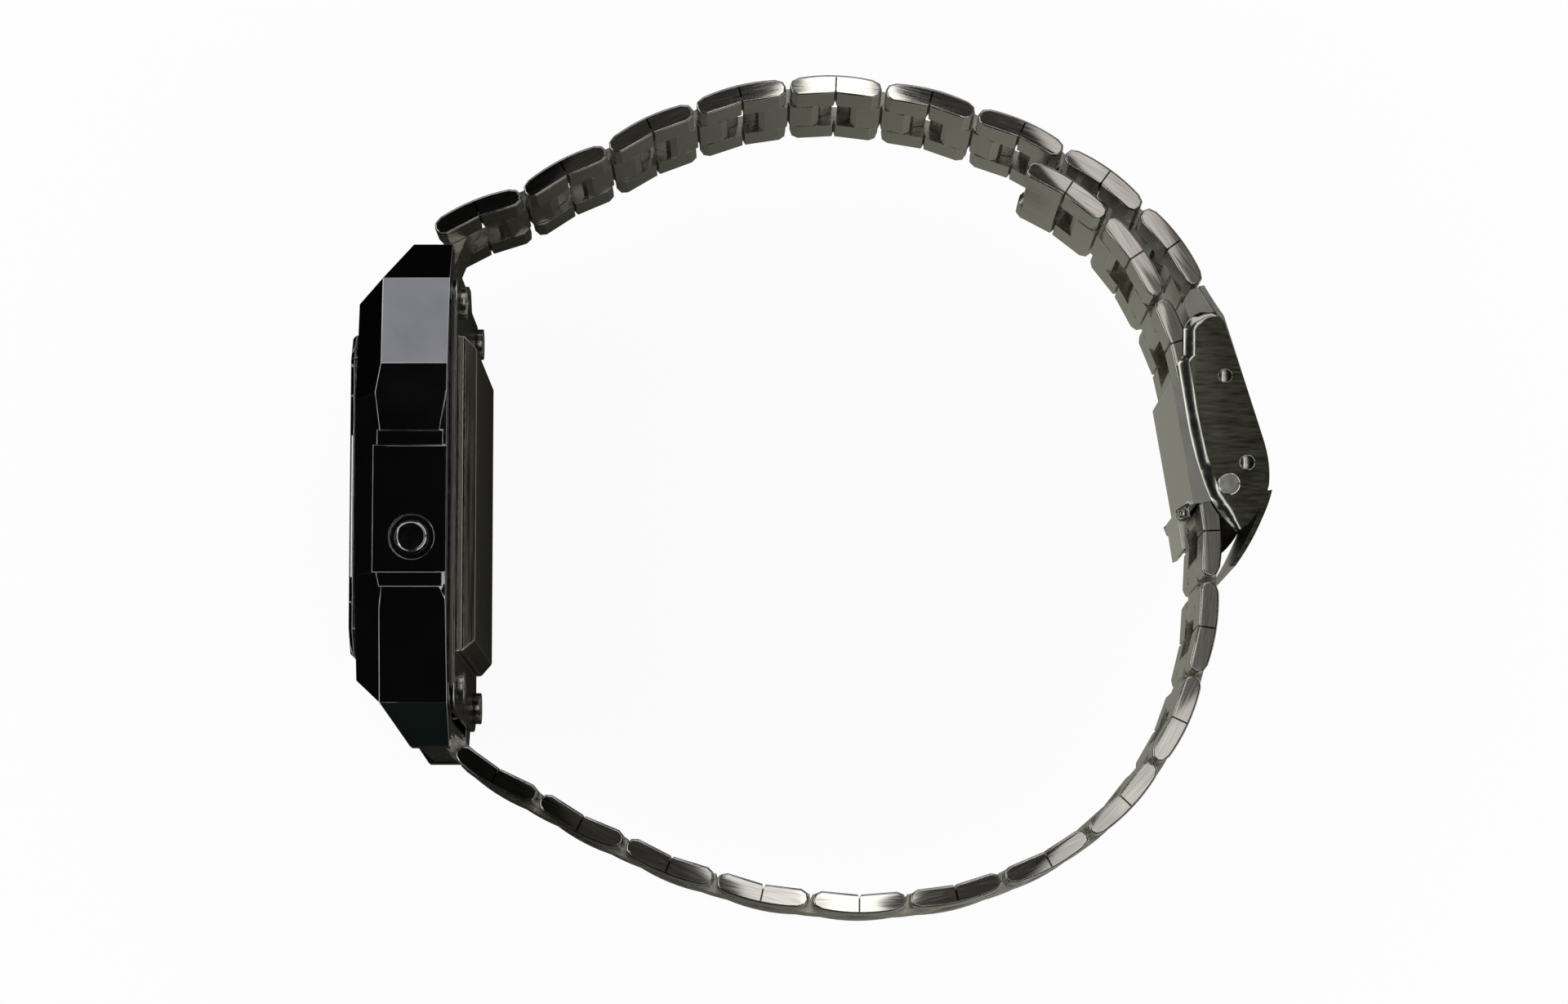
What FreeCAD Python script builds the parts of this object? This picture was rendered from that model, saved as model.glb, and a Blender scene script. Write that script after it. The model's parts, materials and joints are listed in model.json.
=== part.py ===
import FreeCAD, Part
import math
import os

os.makedirs("parts", exist_ok=True)

# Frame: the origin is the middle of the flat outer face of the case back. The dial
# looks along -Y, the 12 o'clock end lies along -X and the 3 o'clock side along +Z.

# Case, outer sizes.
CASE_LENGTH = 38.6
CASE_WIDTH = 36.3
CASE_THICK = 9.6
CRYSTAL_RAISE = 0.7
CASE_REAR = 1.9
LUG_WALL = 2.6
FACET_X = 16.2
FACET_WIDTH = 29.8
SHOULDER_X = 9.3
SHOULDER_WIDTH = 34.7
FLANK_X = 4.1
BEZEL_HALF_X = 14.4
BEZEL_SIDE_DROP = 2.0
BEZEL_SIDE_IN = 2.2
END_DROP = 4.0
FACET_DROP = 1.9
REAR_CHAMFER = 0.5
BAND_DEPTH = 0.6
BAND_STEP = 0.25
BAND_STEP_LENGTH = 1.1
BAND_FROM = 3.0
BAND_TO = 6.6

# Crystal, dial and display.
CRYSTAL_X = 24.8
CRYSTAL_LAP = 0.3
CRYSTAL_THICK = 1.6
CRYSTAL_CORNER = 2.0
CRYSTAL_EDGE = 0.25
SEAT_GAP = 0.05
PIN_SIDES = 10
SEAT_LEDGE = 1.2
WINDOW_WALL = 0.5
MASK_THICK = 0.3
LCD_X = 14.5
LCD_MARGIN = 0.25
LCD_THICK = 1.1
MASK_BORDER = 1.2
LIGHT_THICK = 0.35

# Movement.
CAVITY_X = 24.4
SIDE_WALL = 5.35
CAVITY_CORNER = 1.5
FRAME_X = 23.6
FRAME_PLAY = 1.1
FRAME_WALL = 1.7
FRAME_DEPTH = 4.9
BOARD_THICK = 0.6
BOARD_X = 19.8
CHIP_SIZE = 4.4
CHIP_THICK = 0.7
CHIP_INSET = 0.3
CRYSTAL_CAN_R = 0.75
CRYSTAL_CAN_LENGTH = 5.6
COIN_MARGIN = 2.0
COIN_GAP = 0.1
COIN_THICK = 1.6
COIN_LIP = 0.25
COIN_X = -1.8
CLIP_THICK = 0.2
CLIP_WIDTH = 5.0
ZEBRA_WIDTH = 1.1
SOUNDER_R = 6.0
SOUNDER_THICK = 0.2

# Case back, gasket and screws.
BACK_X = 33.2
BACK_LAP = 1.4
BACK_SHEET = 0.5
BACK_CORNER = 2.0
PAN_X = 24.2
PAN_IN = 0.4
PAN_SLOPE = 0.9
PAN_WALL = 1.0
PAN_SHEET = 0.7
SCREW_X = 14.8
SCREW_IN = 3.2
SCREW_HEAD_R = 1.25
SCREW_HEAD_T = 0.6
SCREW_SHANK_R = 0.6
SCREW_LENGTH = 2.6
SCREW_GAP = 0.03
SLOT_WIDTH = 0.4
SLOT_DEPTH = 0.3
SLOT_LENGTH = 1.6
GASKET_WIDTH = 0.8
GASKET_THICK = 0.5
GASKET_LIP = 0.9

# Push buttons.
BUTTON_X = 3.9
BUTTON_Y = 4.5
BUTTON_HEAD_R = 1.2
BUTTON_BORE_GAP = 0.05
BUTTON_RIM_R = 1.7
BUTTON_RIM_DEPTH = 0.45
BUTTON_OUT = 0.3
BUTTON_HEAD_LENGTH = 2.2
BUTTON_STEM_R = 0.6
BUTTON_CLIP_R = 1.1
BUTTON_CLIP_T = 0.25
BUTTON_TRAVEL = 0.5
SPRING_TURNS = 2.5
SPRING_WIRE = 0.2
SPRING_R = 0.9
SPRING_HEIGHT = 1.2

# Strap: three columns of folded links on cross pins, half a pitch apart.
PITCH = 7.45
LINK_GAP = 0.3
STRAP_WIDTH = 18.0
CENTRE_WIDTH = 8.2
CENTRE_PLAY = 0.2
PIN_R = 0.45
PIN_PLAY = 0.05
LOBE_R = 0.74
CROWN = 0.92
CROWN_END = 0.64
END_ROUND = 0.7
LOBE = 0.8
SEAM_HALF = 0.12
SEAM_N = -0.56
SEAM_TOP = -0.15
LIP_N = 0.3
LIP_BACK = 0.3
LIP_FROM = 0.8
END_LINK = 4.5
BAR_X = 17.5
BAR_Y = 3.6
BAR_R = 0.75
BAR_TIP_R = 0.4
BAR_TIP_LENGTH = 1.2
BAR_PLAY = 0.05
NOTCH_X = 15.7
LUG_PLAY = 0.25
BLOCK_R = 1.5
END_SWEEP = 1.95
LIP_TURN = 10.0
UPPER_END_ANGLE = 22.0
LOWER_END_ANGLE = 51.0

# Direction of each link unit, in degrees above the dial normal, from the case on.
UPPER = [22.5, 28, 25.5, 13.5, -2, -14.5, -24, -36.5, -54]
LOWER = [-30.5, -27.5, -22, -12, -0.5, 12.5, 28, 46.5, 65, 81, 92, 99.5, 107, 123, 147]
CLASP_UNIT = 12
OPEN_UNIT = 6
UPPER_TAIL = -74.2

# Clasp: wall and sheet thicknesses, in the frame of the strap unit it grips.
SHEET = 0.4
WALL_SHEET = 0.55
COVER_PLAY = 0.25
FLANGE_SHEET = 0.7
COVER_LUG_IN = 0.2
INNER_PLATE = 0.3
INNER_N = -1.45
EAR_GAP = 0.1
EAR_SHEET = 0.45
HINGE_S = -2.83
HINGE_N = 3.1
CATCH_S = 4.06
CATCH_N = 2.61
CATCH_R = 0.4
CATCH_PLAY = 0.12
RIVET_S = -4.22
RIVET_N = 1.45
RIVET_R = 0.85
RIVET_PROUD = 0.25
LEVER_S = -5.5
LEVER_N = -1.95
LEVER_IN = 4.0
LEVER_PIN_R = 0.35
LEVER_BOSS_R = 0.6
LEVER_PLAY = 0.2
KNUCKLE = 1.0
LIP_SHEET = 0.5
PIN_HEAD = 0.15


def save(shape, name):
    shape.exportStep("parts/" + name + ".step")


def box(x0, x1, y0, y1, z0, z1):
    return Part.makeBox(x1 - x0, y1 - y0, z1 - z0, FreeCAD.Vector(x0, y0, z0))


def prism(points, z0, z1):
    """Solid between two heights over an outline of (x, y) points."""
    wire = Part.makePolygon([FreeCAD.Vector(p[0], p[1], z0) for p in points + points[:1]])
    return Part.Face(wire).extrude(FreeCAD.Vector(0, 0, z1 - z0))


def curved_prism(stretches, z0, z1):
    """Solid over an outline of stretches: two points are a line, three are an arc."""
    edges = []
    for points in stretches:
        spots = [FreeCAD.Vector(p[0], p[1], z0) for p in points]
        if len(spots) == 2:
            edges.append(Part.makeLine(spots[0], spots[1]))
        else:
            edges.append(Part.Arc(spots[0], spots[1], spots[2]).toShape())
    return Part.Face(Part.Wire(edges)).extrude(FreeCAD.Vector(0, 0, z1 - z0))


def prism_y(points, y0, y1):
    """Solid between two depths over an outline of (x, z) points."""
    wire = Part.makePolygon([FreeCAD.Vector(p[0], y0, p[1]) for p in points + points[:1]])
    return Part.Face(wire).extrude(FreeCAD.Vector(0, y1 - y0, 0))


def prism_x(points, x0, x1):
    """Solid between two stations along the case over an outline of (z, y) points."""
    wire = Part.makePolygon([FreeCAD.Vector(x0, p[1], p[0]) for p in points + points[:1]])
    return Part.Face(wire).extrude(FreeCAD.Vector(x1 - x0, 0, 0))


def box_on_side(side, x0, x1, y0, y1, z0, z1):
    """Box given for the +Z side; side -1 puts it on the -Z side."""
    return box(x0, x1, y0, y1, min(side * z0, side * z1), max(side * z0, side * z1))


def rod(point, radius, z0, z1):
    return Part.makeCylinder(radius, z1 - z0, FreeCAD.Vector(point[0], point[1], z0))


def rod_y(x, z, radius, y0, y1):
    return Part.makeCylinder(radius, y1 - y0, FreeCAD.Vector(x, y0, z), FreeCAD.Vector(0, 1, 0))


def ring(point, radius):
    """Corners of a regular outline that stands for a small circle."""
    turns = [2 * math.pi * count / PIN_SIDES for count in range(PIN_SIDES)]
    return [(point[0] + radius * math.cos(turn), point[1] + radius * math.sin(turn)) for turn in turns]


def pin(point, radius, z0, z1):
    """Thin pin, drawn with a few flat sides because there are so many of them."""
    return prism(ring(point, radius), z0, z1)


def pin_y(x, z, radius, y0, y1):
    return prism_y(ring((x, z), radius), y0, y1)


def hole_radius(radius):
    """Corner radius of a hole whose flat sides lie a radius from its middle."""
    return radius / math.cos(math.pi / PIN_SIDES)


def mirrored(points):
    """Outline of one half, closed by its mirror image across the first axis."""
    return points + [(p[0], -p[1]) for p in reversed(points)]


def rounded_plate(size_x, size_z, corner, y0, y1):
    plate = box(-size_x / 2, size_x / 2, y0, y1, -size_z / 2, size_z / 2)
    upright = [e for e in plate.Edges if abs(e.tangentAt(e.FirstParameter).y) > 0.99]
    return plate.makeFillet(corner, upright)


def cut_corner_plate(size_x, size_z, corner, y0, y1):
    half_x = size_x / 2
    half_z = size_z / 2
    start = [(-half_x, half_z - corner), (-half_x + corner, half_z)]
    side = start + [(-x, z) for x, z in reversed(start)]
    return prism_y(mirrored(side), y0, y1)


# Depths measured from the front of the crystal towards the wrist.
FRONT = -CASE_THICK
BEZEL = FRONT + CRYSTAL_RAISE
SEAT = FRONT + CRYSTAL_THICK
CAVITY_FRONT = SEAT + WINDOW_WALL
MASK_BACK = SEAT + MASK_THICK
FRAME_FRONT = CAVITY_FRONT + SEAT_GAP
LCD_FRONT = FRAME_FRONT + SEAT_GAP
LCD_BACK = LCD_FRONT + LCD_THICK
LIGHT_BACK = LCD_BACK + SEAT_GAP + LIGHT_THICK
BOARD_FRONT = LIGHT_BACK + SEAT_GAP
BOARD_BACK = BOARD_FRONT + BOARD_THICK
COIN_FRONT = BOARD_BACK + SEAT_GAP
COIN_BACK = COIN_FRONT + COIN_THICK
FRAME_BACK = FRAME_FRONT + FRAME_DEPTH
CASE_BACK = -CASE_REAR
BACK_OUT = CASE_BACK + BACK_SHEET
FLANK = CASE_WIDTH / 2 - BAND_DEPTH
END_WIDTH = STRAP_WIDTH + 2 * LUG_WALL

# Widths of the pieces inside the case, from its side walls inwards.
CAVITY_Z = CASE_WIDTH - 2 * SIDE_WALL
CRYSTAL_Z = CAVITY_Z - 2 * CRYSTAL_LAP
FRAME_Z = CAVITY_Z - 2 * FRAME_PLAY
BOARD_Z = FRAME_Z - 2 * FRAME_WALL
LCD_Z = BOARD_Z - 2 * LCD_MARGIN
COIN_R = min(BOARD_Z / 2 - COIN_MARGIN, BOARD_X / 2 + COIN_X - COIN_GAP)
BACK_Z = CAVITY_Z + 2 * BACK_LAP
PAN_Z = CAVITY_Z - 2 * PAN_IN
SCREW_Z = BACK_Z / 2 - SCREW_IN
WINDOW_X = CRYSTAL_X - 2 * SEAT_LEDGE
WINDOW_Z = CRYSTAL_Z - 2 * SEAT_LEDGE

# Widths of the clasp, from the edge of the strap outwards.
EAR_IN = STRAP_WIDTH / 2 + EAR_GAP
WALL_IN = EAR_IN + EAR_SHEET
WALL_OUT = WALL_IN + WALL_SHEET
COVER_HALF = WALL_IN - COVER_PLAY
FLANGE_IN = COVER_HALF - FLANGE_SHEET
LUG_OUT = STRAP_WIDTH / 2 - COVER_LUG_IN
LEVER_HALF = STRAP_WIDTH / 2 - LEVER_IN

SCREWS = [(x, z) for x in (-SCREW_X, SCREW_X) for z in (-SCREW_Z, SCREW_Z)]


def case_plan():
    """Front outline: cut corners, sloping shoulders and a straight flank each side."""
    half = CASE_LENGTH / 2
    peak = BAND_TO + BAND_STEP_LENGTH
    shoulder = [(half, END_WIDTH / 2), (FACET_X, FACET_WIDTH / 2), (SHOULDER_X, SHOULDER_WIDTH / 2)]
    near_top = [(-x, z) for x, z in shoulder] + [(-FLANK_X, CASE_WIDTH / 2)]
    near_bottom = [(peak, CASE_WIDTH / 2)] + list(reversed(shoulder))
    far = shoulder + [(peak, CASE_WIDTH / 2), (-peak, CASE_WIDTH / 2)]
    far += [(-x, z) for x, z in reversed(shoulder)]
    return near_top + near_bottom + [(x, -z) for x, z in far]


def case_blank():
    half = CASE_LENGTH / 2
    wide = CASE_WIDTH / 2
    plan = prism_y(case_plan(), BEZEL, CASE_BACK)
    slope = [(-FACET_X, BEZEL + FACET_DROP), (-BEZEL_HALF_X, BEZEL)]
    ends = [(-half, CASE_BACK), (-half, BEZEL + END_DROP)] + slope
    profile = ends + [(-x, y) for x, y in reversed(ends)]
    rear = [(-wide + REAR_CHAMFER, CASE_BACK), (-wide, CASE_BACK - REAR_CHAMFER)]
    flank = rear + [(-wide, BEZEL + BEZEL_SIDE_DROP), (-wide + BEZEL_SIDE_IN, BEZEL)]
    section = flank + [(-z, y) for z, y in reversed(flank)]
    return plan.common(prism(profile, -wide, wide)).common(prism_x(section, -half, half))


def band_cut(side, x0, x1):
    """Stepped recess along one flank, in which the buttons sit."""
    out = CASE_WIDTH / 2 + 1
    step = CASE_WIDTH / 2 - BAND_STEP
    low = x0 - BAND_STEP_LENGTH
    high = x1 + BAND_STEP_LENGTH
    wide = box_on_side(side, low, high, BEZEL - 1, CASE_BACK + 1, step, out)
    return wide.fuse(box_on_side(side, x0, x1, BEZEL - 1, CASE_BACK + 1, FLANK, out))


def z_rod(x, radius, side, z0, z1):
    low = min(side * z0, side * z1)
    high = max(side * z0, side * z1)
    return rod((x, -BUTTON_Y), radius, low, high)


def stem_rod(x, radius, side, z0, z1):
    low = min(side * z0, side * z1)
    high = max(side * z0, side * z1)
    return pin((x, -BUTTON_Y), radius, low, high)


HEAD_TOP = FLANK + BUTTON_OUT
HEAD_BOTTOM = HEAD_TOP - BUTTON_HEAD_LENGTH
SPRING_FLOOR = HEAD_BOTTOM - BUTTON_TRAVEL - SPRING_HEIGHT - SEAT_GAP
CAVITY_SIDE = CAVITY_Z / 2
BUTTONS = [("light", -BUTTON_X, -1), ("mode", BUTTON_X, -1), ("alarm", BUTTON_X, 1)]


def button_bore(x, side):
    rim = z_rod(x, BUTTON_RIM_R, side, FLANK - BUTTON_RIM_DEPTH, FLANK + 1)
    head = z_rod(x, BUTTON_HEAD_R + BUTTON_BORE_GAP, side, SPRING_FLOOR, FLANK + 1)
    stem_hole = hole_radius(BUTTON_STEM_R + BUTTON_BORE_GAP)
    stem = stem_rod(x, stem_hole, side, CAVITY_SIDE - 1, SPRING_FLOOR + 1)
    return rim.fuse(head).fuse(stem)


def cut_lug_notches(case):
    """Opening at each end for the strap, with blind holes for the spring bar tips."""
    notch = STRAP_WIDTH / 2 + LUG_PLAY
    tip = notch + BAR_TIP_LENGTH + BAR_PLAY
    for sign in (-1, 1):
        low = min(sign * NOTCH_X, sign * CASE_LENGTH)
        high = max(sign * NOTCH_X, sign * CASE_LENGTH)
        case = case.cut(box(low, high, BEZEL - 1, 1, -notch, notch))
        case = case.cut(pin((sign * BAR_X, -BAR_Y), hole_radius(BAR_TIP_R + BAR_PLAY), -tip, tip))
    return case


def make_case():
    case = case_blank()
    case = case.cut(band_cut(1, -BAND_FROM, BAND_TO))
    case = case.cut(band_cut(-1, -BAND_TO, BAND_TO))
    case = cut_lug_notches(case)
    seat_x = CRYSTAL_X + 2 * SEAT_GAP
    seat_z = CRYSTAL_Z + 2 * SEAT_GAP
    groove_x = CAVITY_X + 2 * GASKET_LIP
    groove_z = CAVITY_Z + 2 * GASKET_LIP
    groove_corner = CAVITY_CORNER + GASKET_LIP
    case = case.cut(cut_corner_plate(seat_x, seat_z, CRYSTAL_CORNER, BEZEL - 1, SEAT))
    case = case.cut(cut_corner_plate(WINDOW_X, WINDOW_Z, CRYSTAL_CORNER, SEAT - 1, CAVITY_FRONT + 1))
    case = case.cut(rounded_plate(CAVITY_X, CAVITY_Z, CAVITY_CORNER, CAVITY_FRONT, CASE_BACK + 1))
    groove_floor = CASE_BACK - GASKET_THICK
    case = case.cut(rounded_plate(groove_x, groove_z, groove_corner, groove_floor, CASE_BACK + 1))
    for name, x, side in BUTTONS:
        case = case.cut(button_bore(x, side))
    for x, z in SCREWS:
        bore = hole_radius(SCREW_SHANK_R + SCREW_GAP)
        case = case.cut(pin_y(x, z, bore, CASE_BACK - SCREW_LENGTH, CASE_BACK + 1))
    return case


def make_crystal():
    crystal = cut_corner_plate(CRYSTAL_X, CRYSTAL_Z, CRYSTAL_CORNER, FRONT, SEAT)
    rim = [e for e in crystal.Edges if e.BoundBox.YMax < FRONT + 0.001]
    return crystal.makeChamfer(CRYSTAL_EDGE, rim)


def make_mask():
    outer_x = WINDOW_X - 2 * SEAT_GAP
    outer_z = WINDOW_Z - 2 * SEAT_GAP
    view_x = LCD_X / 2 - MASK_BORDER
    view_z = LCD_Z / 2 - MASK_BORDER
    outer = cut_corner_plate(outer_x, outer_z, CRYSTAL_CORNER, SEAT, MASK_BACK)
    return outer.cut(box(-view_x, view_x, SEAT - 1, MASK_BACK + 1, -view_z, view_z))


def make_module_frame():
    frame = rounded_plate(FRAME_X, FRAME_Z, CAVITY_CORNER - SEAT_GAP, FRAME_FRONT, FRAME_BACK)
    pocket_x = BOARD_X / 2 + SEAT_GAP
    pocket_z = BOARD_Z / 2 + SEAT_GAP
    return frame.cut(box(-pocket_x, pocket_x, LCD_FRONT - 1, FRAME_BACK + 1, -pocket_z, pocket_z))


def make_lcd():
    return box(-LCD_X / 2, LCD_X / 2, LCD_FRONT, LCD_BACK, -LCD_Z / 2, LCD_Z / 2)


def make_light_panel():
    return box(-LCD_X / 2, LCD_X / 2, LCD_BACK + SEAT_GAP, LIGHT_BACK, -LCD_Z / 2, LCD_Z / 2)


def make_zebra():
    """Two rubber strips that join the display to the board."""
    near = LCD_X / 2 + SEAT_GAP
    strip = box(near, near + ZEBRA_WIDTH, LCD_FRONT, BOARD_FRONT, -LCD_Z / 2, LCD_Z / 2)
    other = box(-near - ZEBRA_WIDTH, -near, LCD_FRONT, BOARD_FRONT, -LCD_Z / 2, LCD_Z / 2)
    return Part.makeCompound([strip, other])


def make_board():
    return box(-BOARD_X / 2, BOARD_X / 2, BOARD_FRONT, BOARD_BACK, -BOARD_Z / 2, BOARD_Z / 2)


def make_chip():
    x = BOARD_X / 2 - CHIP_INSET
    z = BOARD_Z / 2 - CHIP_INSET
    return box(x - CHIP_SIZE, x, BOARD_BACK, BOARD_BACK + CHIP_THICK, z - CHIP_SIZE, z)


def make_quartz():
    x = BOARD_X / 2 - CRYSTAL_CAN_R - CHIP_INSET
    start = FreeCAD.Vector(x, BOARD_BACK + CRYSTAL_CAN_R, CHIP_INSET - BOARD_Z / 2)
    return Part.makeCylinder(CRYSTAL_CAN_R, CRYSTAL_CAN_LENGTH, start)


def make_battery():
    coin = rod_y(COIN_X, 0, COIN_R, COIN_FRONT + COIN_LIP, COIN_BACK)
    cap = rod_y(COIN_X, 0, COIN_R - 1, COIN_FRONT, COIN_FRONT + 2 * COIN_LIP)
    return coin.fuse(cap).removeSplitter()


def make_battery_clip():
    """Flat spring over the cell with a leg down to the board on each side."""
    half = BOARD_Z / 2 - CHIP_INSET
    low = COIN_X - CLIP_WIDTH / 2
    high = COIN_X + CLIP_WIDTH / 2
    top = COIN_BACK + CLIP_THICK
    clip = box(low, high, COIN_BACK, top, -half, half)
    for side in (-1, 1):
        clip = clip.fuse(box_on_side(side, low, high, BOARD_BACK, top, half - CLIP_THICK, half))
    return clip.removeSplitter()


def make_back():
    flange = rounded_plate(BACK_X, BACK_Z, BACK_CORNER, CASE_BACK, BACK_OUT)
    pan = box(-PAN_X / 2, PAN_X / 2, CASE_BACK, 0, -PAN_Z / 2, PAN_Z / 2)
    rim = [e for e in pan.Edges if e.BoundBox.YMin > -0.001]
    pan = pan.makeChamfer(PAN_SLOPE, rim)
    half_x = PAN_X / 2 - PAN_WALL
    half_z = PAN_Z / 2 - PAN_WALL
    hollow = box(-half_x, half_x, CASE_BACK - 1, -PAN_SHEET, -half_z, half_z)
    back = flange.fuse(pan).cut(hollow).removeSplitter()
    for x, z in SCREWS:
        back = back.cut(pin_y(x, z, hole_radius(SCREW_SHANK_R + SCREW_GAP), CASE_BACK - 1, 1))
    return back


def make_sounder():
    return rod_y(0, 0, SOUNDER_R, -PAN_SHEET - SOUNDER_THICK, -PAN_SHEET)


def make_gasket():
    lip = GASKET_LIP - SEAT_GAP
    inset = lip - GASKET_WIDTH
    low = CASE_BACK - GASKET_THICK
    outer = rounded_plate(CAVITY_X + 2 * lip, CAVITY_Z + 2 * lip, CAVITY_CORNER + lip, low, CASE_BACK)
    hole_x = CAVITY_X + 2 * inset
    hole_z = CAVITY_Z + 2 * inset
    return outer.cut(rounded_plate(hole_x, hole_z, CAVITY_CORNER, low - 1, CASE_BACK + 1))


def make_screw(x, z):
    """Pan screw with a cross slot."""
    top = BACK_OUT + SCREW_HEAD_T
    floor = top - SLOT_DEPTH
    half = SLOT_LENGTH / 2
    thin = SLOT_WIDTH / 2
    head = rod_y(x, z, SCREW_HEAD_R, BACK_OUT, top)
    shank = pin_y(x, z, SCREW_SHANK_R, CASE_BACK - SCREW_LENGTH + SCREW_GAP, BACK_OUT)
    across = box(x - half, x + half, floor, top + 1, z - thin, z + thin)
    along = box(x - thin, x + thin, floor, top + 1, z - half, z + half)
    return head.fuse(shank).cut(across.fuse(along)).removeSplitter()


def make_screws():
    return Part.makeCompound([make_screw(x, z) for x, z in SCREWS])


def make_button(x, side):
    head = z_rod(x, BUTTON_HEAD_R, side, HEAD_BOTTOM, HEAD_TOP)
    stem = stem_rod(x, BUTTON_STEM_R, side, CAVITY_SIDE - 2 * BUTTON_CLIP_T, HEAD_BOTTOM)
    return head.fuse(stem).removeSplitter()


def make_button_clip(x, side):
    """Ring on the stem's inner end that keeps the button from coming out."""
    top = CAVITY_SIDE - SEAT_GAP
    clip = z_rod(x, BUTTON_CLIP_R, side, top - BUTTON_CLIP_T, top)
    return clip.cut(stem_rod(x, BUTTON_STEM_R, side, top - 1, top + 1))


def make_spring(x, side):
    """Square-wire coil standing on the floor of the button bore, drawn in short runs."""
    base = SPRING_FLOOR if side > 0 else -(SPRING_FLOOR + SPRING_HEIGHT)
    climb = (SPRING_HEIGHT - SPRING_WIRE) / (SPRING_TURNS * PIN_SIDES)
    half = SPRING_WIRE / 2
    corners = [(-half, 0), (half, 0), (half, SPRING_WIRE), (-half, SPRING_WIRE)]
    rows = []
    for step in range(int(SPRING_TURNS * PIN_SIDES) + 1):
        turn = 2 * math.pi * step / PIN_SIDES
        middle = FreeCAD.Vector(x, -BUTTON_Y, base + climb * step)
        outward = FreeCAD.Vector(math.cos(turn), math.sin(turn), 0)
        rows.append([middle + outward * (SPRING_R + out) + FreeCAD.Vector(0, 0, up) for out, up in corners])
    skin = [corner_face(rows[0]), corner_face(rows[-1])]
    for low, high in zip(rows, rows[1:]):
        for this, after in ((0, 1), (1, 2), (2, 3), (3, 0)):
            skin.append(corner_face([low[this], low[after], high[after]]))
            skin.append(corner_face([low[this], high[after], high[this]]))
    return Part.Solid(Part.Shell(skin))


def corner_face(spots):
    return Part.Face(Part.makePolygon(spots + spots[:1]))


def heading(angle):
    turn = math.radians(angle)
    return (-math.sin(turn), math.cos(turn))


def place(middle, angle, side, points):
    """Points given along and outward from a strap unit, brought into the frame."""
    along = heading(angle)
    out = (-side * along[1], side * along[0])
    return [(middle[0] + s * along[0] + n * out[0], middle[1] + s * along[1] + n * out[1]) for s, n in points]


def walk(first_pin, angles):
    """Left pin, right pin and direction of every unit along one strap."""
    units = []
    left = first_pin
    for count, angle in enumerate(angles):
        run = heading(angle)
        right = (left[0] + run[0] * PITCH / 2, left[1] + run[1] * PITCH / 2)
        units.append((left, right, angle))
        if count + 1 < len(angles):
            bridge = heading((angle + angles[count + 1]) / 2)
            left = (right[0] + bridge[0] * PITCH / 2, right[1] + bridge[1] * PITCH / 2)
    return units


def end_pin(side):
    """Pin of the first unit, carried by the end piece on the spring bar."""
    turn = math.radians(UPPER_END_ANGLE if side > 0 else LOWER_END_ANGLE)
    return (-side * (BAR_X + END_LINK * math.cos(turn)), -BAR_Y + END_LINK * math.sin(turn))


UPPER_UNITS = walk(end_pin(1), UPPER)
LOWER_UNITS = walk(end_pin(-1), LOWER)
HALF_LINK = (PITCH - LINK_GAP) / 2
HALF_STRAP = STRAP_WIDTH / 2
HALF_CENTRE = CENTRE_WIDTH / 2
RUN_HALF = HALF_CENTRE - CENTRE_PLAY


def direction(start, end):
    return math.degrees(math.atan2(start[0] - end[0], end[1] - start[1]))


def midpoint(a, b):
    return ((a[0] + b[0]) / 2, (a[1] + b[1]) / 2)


def crown(half_length):
    """Gently crowned outer face from end to end."""
    return [(-half_length, CROWN_END), (0, CROWN), (half_length, CROWN_END)]


def mirror_stretches(right, middle):
    """Closed outline from a middle stretch and the stretches of its right half."""
    left = [[(-s, n) for s, n in reversed(points)] for points in reversed(right)]
    return [middle] + right + left


def chords(points):
    """Straight stretches from point to point."""
    return [[a, b] for a, b in zip(points, points[1:])]


def link_outline():
    """Side of an outer link: crowned outside, two round ends meeting at a seam inside."""
    end = HALF_LINK - END_ROUND
    nose = [(end, CROWN_END), (HALF_LINK - 0.15, 0.35), (HALF_LINK, -0.1), (HALF_LINK - 0.2, -0.6)]
    seam = [(end, -LOBE), (SEAM_HALF, SEAM_N), (0, SEAM_TOP)]
    return mirror_stretches(chords(nose + seam), crown(end))


def centre_outline():
    """Side of a centre link: a long crowned face over two lobes bent round the pins."""
    end = HALF_LINK - END_ROUND
    pin = PITCH / 4
    lip = [(end, CROWN_END), (HALF_LINK, LIP_N), (HALF_LINK - LIP_BACK, LIP_N - LIP_BACK / 2)]
    root = LOBE_R * math.sqrt(0.5)
    lobe = [(pin + LOBE_R, 0), (pin + root, -root), (pin, -LOBE_R)]
    seam = [(SEAM_HALF, SEAM_N), (0, SEAM_TOP)]
    return mirror_stretches(chords(lip + lobe + seam), crown(end))


def place_stretches(middle, angle, side, stretches):
    return [place(middle, angle, side, points) for points in stretches]


def centre_link(right_pin, next_pin, side):
    """Centre link: its near half sits on its own pin, its far half turns on the next."""
    angle = direction(right_pin, next_pin)
    middle = midpoint(right_pin, next_pin)
    outline = place_stretches(middle, angle, side, centre_outline())
    bridge = -LINK_GAP / 2
    near = place(middle, angle, side, [(-PITCH, -PITCH), (bridge, -PITCH), (bridge, PITCH), (-PITCH, PITCH)])
    seat = curved_prism(outline, -HALF_CENTRE, HALF_CENTRE)
    seat = seat.common(prism(near, -HALF_CENTRE, HALF_CENTRE))
    arm = curved_prism(outline, -RUN_HALF, RUN_HALF)
    return seat.fuse(arm.cut(pin(next_pin, hole_radius(PIN_R + PIN_PLAY), -HALF_STRAP, HALF_STRAP)))


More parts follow.
